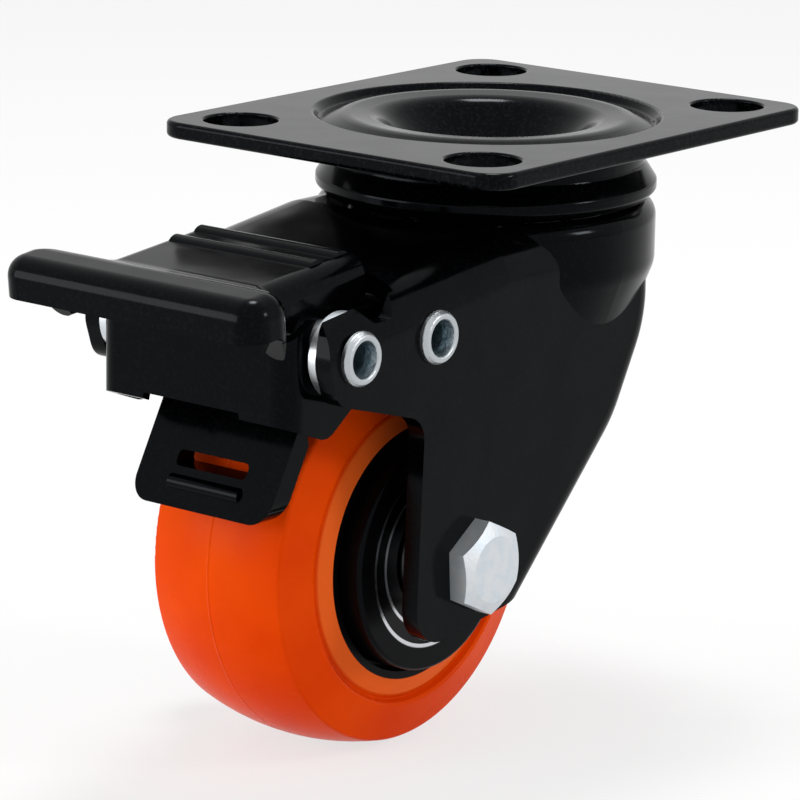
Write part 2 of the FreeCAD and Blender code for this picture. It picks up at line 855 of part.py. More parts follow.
def track_cut(body, place, ring, radius):
    """Cut a ball track round the X axis into a bearing ring."""
    sketch = sketch_on(body, "XZ_Plane", body.Label + "_track")
    circle(sketch, place, ring, radius)
    before = body.Shape.Volume
    groove = body.newObject("PartDesign::Groove", body.Label + "_track_cut")
    groove.Profile = sketch
    groove.ReferenceAxis = (sketch, ["H_Axis"])
    groove.Angle = 360
    doc.recompute()
    if body.Shape.Volume >= before:
        raise RuntimeError(f"{body.Label}: the ball track cuts nothing")


def hexagon(sketch, flats):
    """Draw a hexagon with two flats upright."""
    reach = flats / math.sqrt(3)
    corners = []
    for i in range(6):
        angle = math.radians(60 * i + 30)
        corners.append((reach * round(math.cos(angle - math.radians(30)), 9),
                        reach * round(math.sin(angle - math.radians(30)), 9)))
    outline(sketch, [(-y, x) for x, y in corners])


def make_axle():
    """Bolt with a hexagon head, lock nut with its soft ring, and the tube on the axle."""
    face = d.fork_width / 2
    bolt = new_body("axle_bolt")
    sketch = sketch_on(bolt, "YZ_Plane", "bolt_hexagon")
    hexagon(sketch, d.head_flats)
    bind(sketch, ".AttachmentOffset.Base.z", face)
    pad_one_way(bolt, sketch, d.head_height, "bolt_head")
    end = face + d.head_height
    rim = d.head_flats / 2
    past_corner = rim * 1.3
    drop = (past_corner - d.head_face) * d.head_slope
    turn_profile(
        bolt,
        [(d.head_face, end), (past_corner, end), (past_corner, end - drop)],
        "X",
        "bolt_chamfer",
        remove=True,
    )
    turn_profile(
        bolt,
        [
            (0, face),
            (d.axle_bolt, face),
            (d.axle_bolt, -d.bolt_end + 0.6),
            (d.axle_bolt - 0.6, -d.bolt_end),
            (0, -d.bolt_end),
        ],
        "X",
        "bolt_shank",
    )
    put(bolt, 0, -d.trail, -d.axle_drop, Vector(1, 0, 0), d.head_turn)
    nodes["axle_bolt"] = bolt
    nut = new_body("axle_nut")
    sketch = sketch_on(nut, "YZ_Plane", "nut_hexagon")
    hexagon(sketch, d.head_flats)
    bind(sketch, ".AttachmentOffset.Base.z", -face)
    pad_one_way(nut, sketch, d.nut_height, "nut_hex_pad", reverse=True)
    nut_end = -face - d.nut_height
    collar_end = nut_end - d.nut_collar
    ring = d.axle_bolt + 1.2
    turn_profile(
        nut,
        [
            (0, -face),
            (rim * 0.96, -face),
            (rim * 0.96, collar_end + 0.5, 0.8),
            (rim * 0.8, collar_end, 0.4),
            (0, collar_end),
        ],
        "X",
        "nut_collar_turned",
    )
    turn_profile(
        nut,
        [
            (0, -face + 1),
            (d.axle_bolt, -face + 1),
            (d.axle_bolt, nut_end),
            (ring, nut_end),
            (ring, collar_end + 0.3),
            (ring - 0.5, collar_end + 0.3),
            (ring - 0.5, collar_end - 1),
            (0, collar_end - 1),
        ],
        "X",
        "nut_bore",
        remove=True,
    )
    on_axle(nut)
    nodes["axle_nut"] = nut
    on_axle(
        turned_piece(
            "nut_insert",
            [
                (d.axle_bolt, nut_end),
                (ring, nut_end),
                (ring, collar_end + 0.3),
                (d.axle_bolt, collar_end + 0.3),
            ],
            "X",
        )
    )
    on_axle(
        turned_piece(
            "axle_tube",
            [
                (d.axle_bolt, -d.inside),
                (d.bearing_bore, -d.inside),
                (d.bearing_bore, d.inside),
                (d.axle_bolt, d.inside),
            ],
            "X",
        )
    )


def make_spacers():
    """Two spacers that hold the bearings away from the fork's legs, the right one longer."""
    rings = []
    for side, word in ((1.0, "right"), (-1.0, "left")):
        ring = new_body(f"axle_spacer_{word}")
        turn_profile(
            ring,
            [
                (d.bearing_bore, side * d.bearing_face - d.wheel_offset),
                (d.spacer_radius, side * d.bearing_face - d.wheel_offset),
                (d.spacer_radius, side * d.inside),
                (d.bearing_bore, side * d.inside),
            ],
            "X",
            f"spacer_{word}_turned",
        )
        on_axle(ring)
        rings.append(ring)
    group = doc.addObject("Part::Compound", "axle_spacers")
    group.Label = "axle_spacers"
    group.Links = rings
    nodes["axle_spacers"] = group


def make_rivet(name, place_y, place_z):
    """Hollow rivet through both ears, its ends rolled over."""
    face = d.fork_width / 2
    end = face + d.rivet_proud
    half = [
        (d.rivet_bore, end - 1.6),
        (d.rivet_bore + 0.35, end, 0.3),
        (d.rivet_head - 0.35, end, 0.35),
        (d.rivet_head, end - 0.55, 0.25),
        (d.rivet_head, face),
        (d.rivet_radius, face),
    ]
    put(turned_piece(name, half + mirrored(half), "X"), 0, -place_y, -place_z)


def make_tube(name, radius, place_y, place_z, short=0.0, chamfer=0.0):
    """Spacer tube round a rivet, between the ears, its ends short of them and chamfered."""
    end = d.inside - short
    half = [(d.rivet_radius, end), (radius - chamfer, end), (radius, end - chamfer)]
    if chamfer == 0:
        half = half[:2]
    corners = mirrored(half) + half
    put(turned_piece(name, corners, "X"), 0, -place_y, -place_z)


def make_washers():
    """Two washers that keep the brake shoe in the middle of the fork."""
    close = d.channel_half + d.clear_gap
    rings = []
    for side, word in ((1.0, "right"), (-1.0, "left")):
        ring = new_body(f"pivot_washer_{word}")
        turn_profile(
            ring,
            [
                (d.pivot_tube, side * close),
                (d.washer_radius - d.washer_chamfer, side * close),
                (d.washer_radius, side * (close + d.washer_chamfer)),
                (d.washer_radius, side * d.inside),
                (d.pivot_tube, side * d.inside),
            ],
            "X",
            f"washer_{word}_turned",
        )
        put(ring, 0, -d.front_rivet_y, -d.front_rivet_z)
        rings.append(ring)
    group = doc.addObject("Part::Compound", "pivot_washers")
    group.Label = "pivot_washers"
    group.Links = rings
    nodes["pivot_washers"] = group


def pedal_form(name, gap):
    """Solid form of the pedal's outside, or of its inside when gap is the sheet's thickness."""
    body = new_body(name)
    half = d.pedal_half - gap
    lip = d.lip_half - gap
    rear = d.pedal_rear + gap * 4
    front = d.pedal_front - gap
    neck = d.pedal_neck + gap * 0.6
    tip = d.pedal_front - d.lip_depth + gap * 0.6
    less = as_size(gap).value
    right = [
        (half, rear),
        (half, -neck, 2.5 + less),
        (lip, -tip, 2.7 - less),
        (lip, -front, 2.9 - less),
    ]
    left = [(-x, y) + tuple(rest) for x, y, *rest in reversed(right)]
    sketch = sketch_on(body, "XY_Plane", name + "_plan")
    outline(sketch, right + left)
    top = d.pedal_top - gap
    crest = top + d.lip_rise
    bind(sketch, ".AttachmentOffset.Base.z", crest)
    pad_one_way(body, sketch, 18.0 if less == 0 else 20.0, name + "_pad", reverse=True)
    sketch = sketch_on(body, "YZ_Plane", name + "_tray_side")
    outline(
        sketch,
        [
            (30, crest + 5),
            (30, top),
            (-d.pedal_neck, top, 6.0 + less),
            (-d.pedal_neck - 4.6, crest, 4.6 - less),
            (-d.pedal_front - 4, crest - 0.2),
            (-d.pedal_front - 4, crest + 5),
        ],
    )
    tray = cut_through(body, sketch, name + "_tray_cut")
    rear_y = rear.value
    front_y = -front.value
    top_z = top.value

    def is_rim(edge):
        box = edge.BoundBox
        runs_across = box.XLength > 1 and box.YLength < 0.01
        return box.ZMin > top_z - 0.05 and not (runs_across and box.YMin > front_y + 0.05)

    round_edges(body, tray, d.pedal_edge - gap, is_rim, name + "_rounds")
    return body


def make_pedal():
    """Foot pedal: a pressed tray with a raised front lip, two cheeks and two stiffening ridges."""
    outer = pedal_form("pedal_outer", Size(0, "0"))
    sketch = sketch_on(outer, "YZ_Plane", "ridge_ends")
    for place in (2.6, 6.9):
        circle(sketch, place, d.pedal_top - d.ridge_radius + d.ridge_rise, d.ridge_radius)
    pad_across(outer, sketch, d.ridge_half * 2, "ridges")
    inner = pedal_form("pedal_inner", d.pedal_sheet)
    shell = doc.addObject("Part::Cut", "pedal_shell")
    shell.Base = outer
    shell.Tool = inner
    side = new_body("pedal_side_tool")
    sketch = sketch_on(side, "YZ_Plane", "pedal_side")
    low = -30.0
    outline(
        sketch,
        [
            (30, 4.4),
            (8.0, 4.4, 2.0),
            (4.9, -0.6, 4.0),
            (3.6, -5.2, 3.0),
            (-5.6, -5.2, 2.4),
            (-5.6, -2.4, 1.5),
            (-3.9, 4.9, 1.5),
            (-30, 4.9),
            (-30, low),
            (30, low),
        ],
    )
    beside = d.pedal_half + 1.2
    pad_across(side, sketch, beside * 2, "pedal_side_pad")
    front = new_body("pedal_front_tool")
    sketch = sketch_on(front, "YZ_Plane", "pedal_front_edge")
    outline(
        sketch,
        [
            (-10.6, low),
            (-10.6, d.lobe_edge),
            (-13.2, d.lip_edge, 1.5),
            (-40, d.lip_edge),
            (-40, low),
        ],
    )
    pad_across(front, sketch, d.lip_half * 2 + 10, "pedal_front_pad")
    lobes = new_body("pedal_lobe_tool")
    sketch = sketch_on(lobes, "XZ_Plane", "pedal_lobes")
    right = [
        (d.lip_half + 5, low),
        (d.lip_half + 5, d.lip_edge - 0.5),
        (d.lip_half - 0.6, d.lip_edge - 0.5, 1.2),
        (d.lip_half - 2.0, d.lobe_edge, 1.4),
        (beside + 1.2, d.lobe_edge, 1.2),
        (beside - 0.4, d.lip_edge - 0.4, 1.2),
    ]
    left = [(-x, y) + tuple(rest) for x, y, *rest in reversed(right)]
    outline(sketch, right + left)
    bind(sketch, ".AttachmentOffset.Base.z", d.pedal_neck - 1)
    pad_one_way(lobes, sketch, 20.0, "pedal_lobe_pad")
    holes = new_body("pedal_hole_tool")
    sketch = sketch_on(holes, "YZ_Plane", "pedal_holes")
    circle(sketch, 0, 0, d.pivot_tube + d.running_gap)
    circle(sketch, -d.cam_ahead, -d.cam_below, d.cam_pin)
    pad_across(holes, sketch, 60.0, "pedal_holes_pad")
    tools = doc.addObject("Part::MultiFuse", "pedal_tools")
    tools.Shapes = [side, front, lobes, holes]
    pedal = doc.addObject("Part::Cut", "pedal")
    pedal.Base = shell
    pedal.Tool = tools
    pedal.Label = "pedal"
    put(pedal, 0, -d.front_rivet_y, -d.front_rivet_z, Vector(1, 0, 0), d.pedal_tilt)
    doc.recompute()
    nodes["pedal"] = pedal
    pin = new_body("cam_pin")
    sketch = sketch_on(pin, "YZ_Plane", "cam_pin_section")
    circle(sketch, -d.cam_ahead, -d.cam_below, d.cam_pin)
    pad_across(pin, sketch, d.pedal_half * 2, "cam_pin_pad")
    put(pin, 0, -d.front_rivet_y, -d.front_rivet_z, Vector(1, 0, 0), d.pedal_tilt)
    nodes["cam_pin"] = pin


def channel_form(name, gap):
    """Solid form of the brake channel's outside, or of its inside."""
    body = new_body(name)
    front = -d.channel_front + gap
    corners = [(front, -17.4), (-48.6, -15.1, 1.6), (-27.2, -15.1, 4.1), (-27.2, -23.4, 4.1),
               (-38.0, -23.4, 4.0), (-46.2, -29.2, 2.6), (front, -26.6)]
    if as_size(gap).value > 0:
        corners = [(front, -5), (-20, -5), (-20, -35), (front, -35)]
    sketch = sketch_on(body, "YZ_Plane", name + "_side")
    outline(sketch, corners)
    half = d.channel_half - gap
    pad = pad_across(body, sketch, half * 2, name + "_pad")
    edge_x = half.value
    front_y = as_size(front).value

    def is_front_edge(edge):
        box = edge.BoundBox
        return near(abs(box.XMin), edge_x) and near(box.YMin, front_y) and near(box.YMax, front_y) and box.ZLength > 1

    round_edges(body, pad, 2.6 - gap, is_front_edge, name + "_rounds")
    return body


def make_brake_shoe():
    """Channel between the ears, and the blade that is welded behind its front wall."""
    outer = channel_form("channel_outer", Size(0, "0"))
    sketch = sketch_on(outer, "XZ_Plane", "channel_notch")
    notch = d.blade_half - d.notch_inset
    outline(sketch, [(-notch, -30), (notch, -30), (notch - 1, -25.9), (1 - notch, -25.9)])
    bind(sketch, ".AttachmentOffset.Base.z", 49.0)
    cut_one_way(outer, sketch, "channel_notch_cut", reverse=True)
    sketch = sketch_on(outer, "YZ_Plane", "channel_rear_hole")
    circle(sketch, -d.rear_rivet_y, -d.rear_rivet_z, d.rear_tube + d.running_gap)
    cut_through(outer, sketch, "channel_rear_hole_cut")
    sketch = sketch_on(outer, "YZ_Plane", "channel_slot")
    reach = d.pivot_tube + d.clear_gap + 0.1
    y = -d.front_rivet_y
    z = -d.front_rivet_z
    lift = 1.1
    outline(
        sketch,
        [
            (y - reach, z - reach, reach * 0.98),
            (y + reach, z - reach, reach * 0.98),
            (y + reach, z + reach + lift, reach * 0.98),
            (y - reach, z + reach + lift, reach * 0.98),
        ],
    )
    cut_through(outer, sketch, "channel_slot_cut")
    inner = channel_form("channel_inner", d.channel_sheet)
    channel = doc.addObject("Part::Cut", "brake_channel")
    channel.Base = outer
    channel.Tool = inner
    channel.Label = "brake_channel"
    nodes["brake_channel"] = channel
    doc.recompute()
    make_blade()


def make_blade():
    """Brake blade: a bent strip with rounded corners, a slot and a pressed rib."""
    blade = new_body("brake_blade")
    face = -d.channel_front + d.channel_sheet
    top = -d.blade_floor
    under = top - d.blade_sheet
    foot_z = -d.wheel_top - d.blade_foot
    foot_y = -d.trail - d.wheel_radius - d.blade_reach
    bend = -d.trail - d.wheel_radius + d.blade_bend_inset
    lean = (foot_y - bend) / (foot_z - top)
    thick = d.blade_sheet * 1.144
    sketch = sketch_on(blade, "YZ_Plane", "blade_side")
    outline(
        sketch,
        [
            (face, top),
            (face, under),
            (bend - lean * d.blade_sheet, under, 0.6),
            (foot_y, foot_z),
            (foot_y + thick + d.blade_hem, foot_z),
            (foot_y + thick + d.blade_hem + lean * d.blade_hem_rise, foot_z + d.blade_hem_rise, 0.5),
            (foot_y + thick + lean * (d.blade_hem_rise + 1), foot_z + d.blade_hem_rise + 1),
            (bend + thick, top, 2.4),
        ],
    )
    pad = pad_across(blade, sketch, d.blade_half * 2, "blade_pad")
    half = d.blade_half.value

    def is_foot_corner(edge):
        box = edge.BoundBox
        return near(abs(box.XMin), half) and box.XLength < 0.01 and near(box.ZMax, foot_z.value) and box.YLength > 0.5

    round_edges(blade, pad, 2.6, is_foot_corner, "blade_rounds")
    sketch = sketch_on(blade, "XZ_Plane", "blade_slot")
    slot = d.slot_half
    high = foot_z + 5.9
    low = foot_z + 4.2
    outline(sketch, [(-slot, low, 0.6), (slot, low, 0.6), (slot, high, 0.6), (-slot, high, 0.6)])
    cut_through(blade, sketch, "blade_slot_cut")
    sketch = sketch_on(blade, "YZ_Plane", "blade_rib_end")
    rib_z = foot_z + 2.4
    circle(sketch, bend + lean * (rib_z - top) + 0.5, rib_z, 0.95)
    pad_across(blade, sketch, slot * 2, "blade_rib")
    nodes["brake_blade"] = blade


def make_lock_spring():
    """Leaf spring hooked over the rear tube, its tip under the pedal's tail."""
    spring = new_body("lock_spring")
    sketch = sketch_on(spring, "YZ_Plane", "spring_side")
    tube = d.rear_tube
    y = -d.rear_rivet_y
    z = -d.rear_rivet_z
    over = z + tube
    thick = d.spring_sheet
    outline(
        sketch,
        [
            (y + tube, z - 1.5),
            (y + tube, over, tube - 0.01),
            (-39.6, over, 1.5),
            (-42.0, -12.9),
            (-42.0 + thick, -12.4),
            (-39.4 + thick / 2, over + thick, 0.9),
            (y + tube + thick, over + thick, tube + thick - 0.01),
            (y + tube + thick, z - 1.5),
        ],
    )
    pad_across(spring, sketch, d.spring_half * 2, "spring_pad")
    nodes["lock_spring"] = spring


def check_and_write():
    """Stop at any failed object or bad shape, then write one file per piece."""
    doc.recompute()
    for item in doc.Objects:
        if "Invalid" in item.State or "Error" in item.State:
            raise RuntimeError(f"{item.Label} failed: {item.State}")
    for name, item in nodes.items():
        shape = item.Shape
        if shape.isNull() or not shape.isValid() or not shape.Solids:
            raise RuntimeError(f"{name} has no valid solid")
    for name, item in sorted(nodes.items()):
        item.Shape.exportStep(f"parts/{name}.step")
        print(f"{name}: {len(item.Shape.Solids)} solids, {item.Shape.Volume:.1f} mm3")


make_top_plate()
middle_of_upper_balls = make_swivel_head()
make_fork(middle_of_upper_balls)
make_wheel()
make_bearing(1.0, "right_bearing")
make_bearing(-1.0, "left_bearing")
make_axle()
make_spacers()
make_rivet("front_rivet", d.front_rivet_y, d.front_rivet_z)
make_rivet("rear_rivet", d.rear_rivet_y, d.rear_rivet_z)
make_tube("pivot_tube", d.pivot_tube, d.front_rivet_y, d.front_rivet_z)
make_tube("rear_tube", d.rear_tube, d.rear_rivet_y, d.rear_rivet_z, short=0.2, chamfer=0.5)
make_washers()
make_pedal()
make_brake_shoe()
make_lock_spring()
check_and_write()
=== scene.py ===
import math
import bpy
from mathutils import Matrix, Vector


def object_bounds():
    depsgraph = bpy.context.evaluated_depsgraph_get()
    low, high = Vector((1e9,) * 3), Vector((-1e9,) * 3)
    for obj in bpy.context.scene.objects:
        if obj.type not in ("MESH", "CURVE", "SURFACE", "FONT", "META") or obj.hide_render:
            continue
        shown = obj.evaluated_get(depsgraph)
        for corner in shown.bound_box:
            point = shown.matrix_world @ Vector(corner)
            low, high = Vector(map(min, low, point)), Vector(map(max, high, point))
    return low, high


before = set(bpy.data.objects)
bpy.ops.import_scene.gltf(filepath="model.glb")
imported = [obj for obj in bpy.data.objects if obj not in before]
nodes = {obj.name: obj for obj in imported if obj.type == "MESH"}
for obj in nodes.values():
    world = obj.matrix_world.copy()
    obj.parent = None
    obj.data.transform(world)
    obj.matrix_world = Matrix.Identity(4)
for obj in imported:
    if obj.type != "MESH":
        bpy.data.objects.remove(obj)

cad_low, cad_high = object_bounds()


# Top plate. It is pressed from sheet steel with a dished middle and four bolt holes,
# then dipped in thick, glossy black enamel. Its flat top gathers a little fine dust.
class Wire:
    """A value inside a material. Sums on wires add the nodes that work them out."""

    def __init__(self, recipe, socket):
        self.recipe = recipe
        self.socket = socket

    def work(self, operation, *values, clamp=False):
        """One step of arithmetic on values or wires."""
        settings = {"operation": operation, "use_clamp": clamp}
        return self.recipe.node("ShaderNodeMath", settings, dict(enumerate(values)))

    def output(self, name):
        """Another output of the same node."""
        return Wire(self.recipe, self.socket.node.outputs[name])

    def __add__(self, other):
        return self.work("ADD", self, other)

    def __sub__(self, other):
        return self.work("SUBTRACT", self, other)

    def __rsub__(self, other):
        return self.work("SUBTRACT", other, self)

    def __mul__(self, other):
        return self.work("MULTIPLY", self, other)

    def __truediv__(self, other):
        return self.work("DIVIDE", self, other)

    def __rtruediv__(self, other):
        return self.work("DIVIDE", other, self)

    def __abs__(self):
        return self.work("ABSOLUTE", self)

    __radd__ = __add__
    __rmul__ = __mul__

    def root(self):
        return self.work("SQRT", self)

    def wave(self):
        return self.work("SINE", self)

    def larger(self, other):
        return self.work("MAXIMUM", self, other)

    def held(self):
        """The value kept from 0 to 1."""
        return self.work("ADD", self, 0.0, clamp=True)

    def line(self, spot, half):
        """1 on a spot and 0 from half away, for a thin line."""
        return (1 - abs(self - spot) / half).held()


class Recipe:
    """A set of nodes, for a material or for the room."""

    def __init__(self, tree):
        self.tree = tree

    def feed(self, socket, value):
        """Give a socket a constant or a wire."""
        if isinstance(value, Wire):
            self.tree.links.new(value.socket, socket)
        else:
            socket.default_value = value

    def node(self, kind, settings, values, output=0):
        """Add a node, with its settings first and then its sockets, and give one output."""
        made = self.tree.nodes.new(kind)
        for key, setting in settings.items():
            if key == "stops":
                elements = made.color_ramp.elements
                while len(elements) < len(setting):
                    elements.new(1.0)
                for element, (spot, colour) in zip(elements, setting):
                    element.position = spot
                    element.color = (*colour, 1.0)
            else:
                setattr(made, key, setting)
        for socket, value in values.items():
            self.feed(made.inputs[socket], value)
        return Wire(self, made.outputs[output])

    def seen(self):
        """1 for what the eye sees, straight, in a mirror or through glass, else 0."""
        path = self.node("ShaderNodeLightPath", {}, {}, "Is Camera Ray")
        mirrored = path.output("Is Glossy Ray")
        return path.larger(mirrored).larger(path.output("Is Transmission Ray"))


class Finish(Recipe):
    """A material made of one shader and the nodes that vary it."""

    def __init__(self, name, colour, metallic=0.0, roughness=0.5, ior=1.45, tint=(1, 1, 1)):
        self.material = bpy.data.materials.new(name)
        self.material.use_nodes = True
        super().__init__(self.material.node_tree)
        self.shader = self.tree.nodes["Principled BSDF"]
        self.set("Base Color", (*colour, 1.0))
        self.set("Metallic", metallic)
        self.set("Roughness", roughness)
        self.set("IOR", ior)
        self.set("Specular Tint", (*tint, 1.0))

    def set(self, socket, value):
        """Give one socket of the shader a constant or a wire."""
        self.feed(self.shader.inputs[socket], value)

    def place(self):
        """The point on the object, in metres."""
        return self.node("ShaderNodeTexCoord", {}, {}, "Object")

    def axes(self):
        """The point's x, y and z in mm."""
        point = self.node("ShaderNodeSeparateXYZ", {}, {"Vector": self.place()})
        return [point.output(axis) * 1000 for axis in "XYZ"]

    def from_line(self, y, z):
        """Distance in mm from a line along X through y and z."""
        point = self.axes()
        across = point[1] - y
        up = point[2] - z
        return (across * across + up * up).root()

    def noise(self, size, detail=1.0, stretch=(1, 1, 1)):
        """Soft random lumps about as many mm long as size, from 0 to 1."""
        drawn = {0: self.place(), 1: stretch}
        point = self.node("ShaderNodeVectorMath", {"operation": "MULTIPLY"}, drawn)
        values = {"Vector": point, "Scale": 1000 / size, "Detail": detail}
        return self.node("ShaderNodeTexNoise", {}, values)

    def ramp(self, value, *stops):
        """Turn a value into a colour through stops of (spot, colour)."""
        return self.node("ShaderNodeValToRGB", {"stops": stops}, {"Fac": value})

    def blend(self, share, first, second):
        """One colour going over into another as share goes from 0 to 1."""
        colours = {0: share, 6: first, 7: second}
        return self.node("ShaderNodeMix", {"data_type": "RGBA"}, colours, output=2)

    def bump(self, height):
        """Raise the surface by a height in mm."""
        values = {"Height": height, "Distance": 0.001}
        self.set("Normal", self.node("ShaderNodeBump", {}, values))

    def coat(self, *names):
        """Put this finish on CAD nodes."""
        for name in names:
            for slot in nodes[name].material_slots:
                slot.material = self.material

black_gloss = 1.15
cool_tint = (0.84, 0.93, 1.0)


def black_enamel(name, waves=0.08, peel=0.004, dust=0.003):
    """Glossy black paint, with its waves and fine peel in mm and the grey of its dust."""
    paint = Finish(name, (0.001, 0.001, 0.001), ior=black_gloss, tint=cool_tint)
    wave_length = 11
    peel_length = 0.9
    cloud_length = 6
    speck_length = 0.4
    glossiest = 0.07
    cloudiness = 0.15
    paint.bump(paint.noise(wave_length) * waves + paint.noise(peel_length, 2) * peel)
    paint.set("Roughness", glossiest + paint.noise(cloud_length, 3) * cloudiness)
    clean = (0.0004, 0.0005, 0.0008)
    dusty = (dust, dust * 1.08, dust * 1.2)
    specks = paint.noise(speck_length, 2)
    paint.set("Base Color", paint.ramp(specks, (0.50, clean), (0.80, dusty)))
    return paint


black_enamel("plate_enamel", waves=0.06, peel=0.007, dust=0.009).coat("top_plate")

# Upper race. A pressed ring under the plate holds the upper balls and keeps dust out.
# It is painted with the plate, so it has the same enamel, thinner in the groove.
black_enamel("upper_race_enamel", waves=0.03, peel=0.002).coat("upper_race")


# Upper balls. Hardened and polished steel balls run in grease between the upper race
# and the top of the fork. Only a dark line of them shows under the ring.
def polished_steel(name, roughness=0.12):
    """Hard, bright steel, a little warmer than zinc."""
    steel = Finish(name, (0.56, 0.55, 0.53), metallic=1.0)
    steel.set("Roughness", roughness + steel.noise(1.5, 2) * 0.12)
    return steel


polished_steel("ball_steel").coat("upper_balls")

# Fork. One sheet of steel is drawn into a neck and hood and folded down into two legs
# with ears for the brake, then enamelled. The deep drawing leaves long, soft waves.
black_enamel("fork_enamel", waves=0.20, peel=0.003).coat("fork")

# Lower balls, lower race and king pin. The race cup hangs under the fork's neck. The
# riveted pin holds plate, fork and both rows of balls together, and its end has a thin
# coat of dark paint.
polished_steel("lower_ball_steel").coat("lower_balls")
black_enamel("lower_race_enamel", waves=0.02).coat("lower_race")
pin = Finish("pin_enamel", (0.08, 0.09, 0.105), metallic=1.0, roughness=0.3)
pin.bump(pin.noise(3, 3) * 0.08)
pin.coat("king_pin")

# Tyre. A soft, glossy orange elastomer is cast round the core. The two halves of its mould
# leave a thin seam round the middle of the tread. Inside the groove in its side a lighter
# orange is painted on as a highlight band.
axle_y = -23.9
axle_z = -47.4
tyre_middle = -1.6
seam_half = 0.2
seam_height = 0.07
groove = 17.6
groove_half = 0.5
groove_depth = 0.22
groove_rim = 0.2
groove_fade = 3
tread_gloss = 1.1
rubber = Finish("orange_tread", (0.8, 0.06, 0.0003), ior=tread_gloss)
seam = rubber.axes()[0].line(tyre_middle, seam_half)
reach = rubber.from_line(axle_y, axle_z)
ring = reach.line(groove, groove_half)
skin = rubber.noise(9) * 0.08 + rubber.noise(0.7, 2) * 0.002
rubber.bump(seam * seam_height - ring * groove_depth + skin)
rubber.set("Roughness", 0.22 + rubber.noise(5, 3) * 0.12)
deep = (0.78, 0.052, 0.0002)
bright = (0.88, 0.074, 0.0003)
# Painted highlight: a lighter orange stands for light on the tyre's side inside the groove.
painted_highlight_orange = (0.88, 0.13, 0.016)
tread_colour = rubber.ramp(rubber.noise(14, 2), (0.35, deep), (0.65, bright))
# Mask of the painted highlight band, fading in just inside the groove towards the axle.
painted_highlight_band = ((groove - groove_rim - reach) * groove_fade).held()
rubber.set("Base Color", rubber.blend(painted_highlight_band, tread_colour, (*painted_highlight_orange, 1.0)))
rubber.coat("tyre")

# Wheel core. It is moulded from black glass-filled nylon, with a web round the hub and a
# recess at each side for a bearing. The mould leaves it satin.
hub = Finish("black_nylon", (0.0012, 0.0012, 0.0015), ior=black_gloss, tint=cool_tint)
hub.bump(hub.noise(0.5, 3) * 0.004)
hub.set("Roughness", 0.22 + hub.noise(3, 3) * 0.2)
hub.coat("wheel_core")

# Wheel bearings. Each has two ground rings with balls between them, and a thin shield
# snapped into the outer ring. Rings and shield are coloured in painted shade, near black,
# with painted highlight lines at their edges.
def ground_steel_painted_glints(name, painted_highlight_rings):
    """Near-black painted-shade steel with painted highlight rings of (radius, half width)
    round the axle.
    """
    steel = polished_steel(name, roughness=0.16)
    reach = steel.from_line(axle_y, axle_z)
    bright = 0
    for radius, half in painted_highlight_rings:
        bright = reach.line(radius, half) + bright
    # Painted shade and painted highlights: the steel is coloured near black, and bright
    # lines are painted at the listed radii.
    painted_shade_steel = (0.012, 0.012, 0.013)
    painted_glint_colour = (0.62, 0.63, 0.66)
    steel.set("Base Color", steel.ramp(bright, (0.2, painted_shade_steel), (0.6, painted_glint_colour)))
    grinding_pitch = 40
    grinding_height = 0.0006
    steel.bump((reach * grinding_pitch).wave() * grinding_height)
    return steel


outer_steel = ground_steel_painted_glints("ring_steel", [(10.7, 0.4), (9.35, 0.3)])
outer_steel.coat("right_bearing_outer_ring", "left_bearing_outer_ring")
inner_steel = ground_steel_painted_glints("inner_ring_steel", [(5.2, 0.25), (4.3, 0.3)])
inner_steel.coat("right_bearing_inner_ring", "left_bearing_inner_ring")
polished_steel("bearing_ball_steel").coat("right_bearing_balls", "left_bearing_balls")
shield_steel = ground_steel_painted_glints("shield_steel", [(8.5, 0.3), (6.2, 0.25)])
shield_steel.coat("right_bearing_shield", "left_bearing_shield")


# Axle tube and spacers. The tube keeps the inner rings apart, and the spacers stand
# between rings and legs. They are cut from drawn tube and zinc plated.
def bright_zinc(name, roughness=0.26):
    """Zinc plate, bluish with faint warm patches, slightly cloudy."""
    zinc = Finish(name, (0.62, 0.66, 0.69), metallic=1.0)
    cool = (0.60, 0.65, 0.69)
    warm = (0.66, 0.68, 0.70)
    zinc.set("Base Color", zinc.ramp(zinc.noise(1.6, 3), (0.38, cool), (0.62, warm)))
    zinc.set("Roughness", roughness + zinc.noise(0.9, 3) * 0.2)
    return zinc


bright_zinc("tube_zinc").coat("axle_tube", "axle_spacers")

# Axle bolt and nut. The bolt is cold headed, which leaves fine streaks on its head, then
# both are zinc plated.
streak_length = 0.4
streak_height = 0.05
bolt_dullness = 0.55
bolt_zinc = bright_zinc("bolt_zinc")
streaks = bolt_zinc.noise(streak_length, 3, stretch=(0.08, 1, 1))
bolt_zinc.bump(streaks * streak_height)
bolt_zinc.set("Roughness", bolt_dullness + bolt_zinc.noise(0.9, 3) * 0.1)
bolt_zinc.coat("axle_bolt")
bright_zinc("nut_zinc").coat("axle_nut")

# Nut insert. A ring of blue nylon in the nut's crown grips the thread, so the nut
# can't work loose as the wheel turns.
nylon = Finish("blue_nylon", (0.03, 0.10, 0.40), roughness=0.45)
nylon.coat("nut_insert")

# Brake channel. A folded steel channel between the ears swings down onto the tread.
# It is enamelled as the fork is.
black_enamel("channel_enamel", waves=0.04, peel=0.002).coat("brake_channel")

# Brake blade. A plate with a slot and a pressed rib is folded out of the same steel,
# rests in the channel and grips the tread. It is enamelled too.
black_enamel("blade_enamel", waves=0.03, peel=0.002).coat("brake_blade")


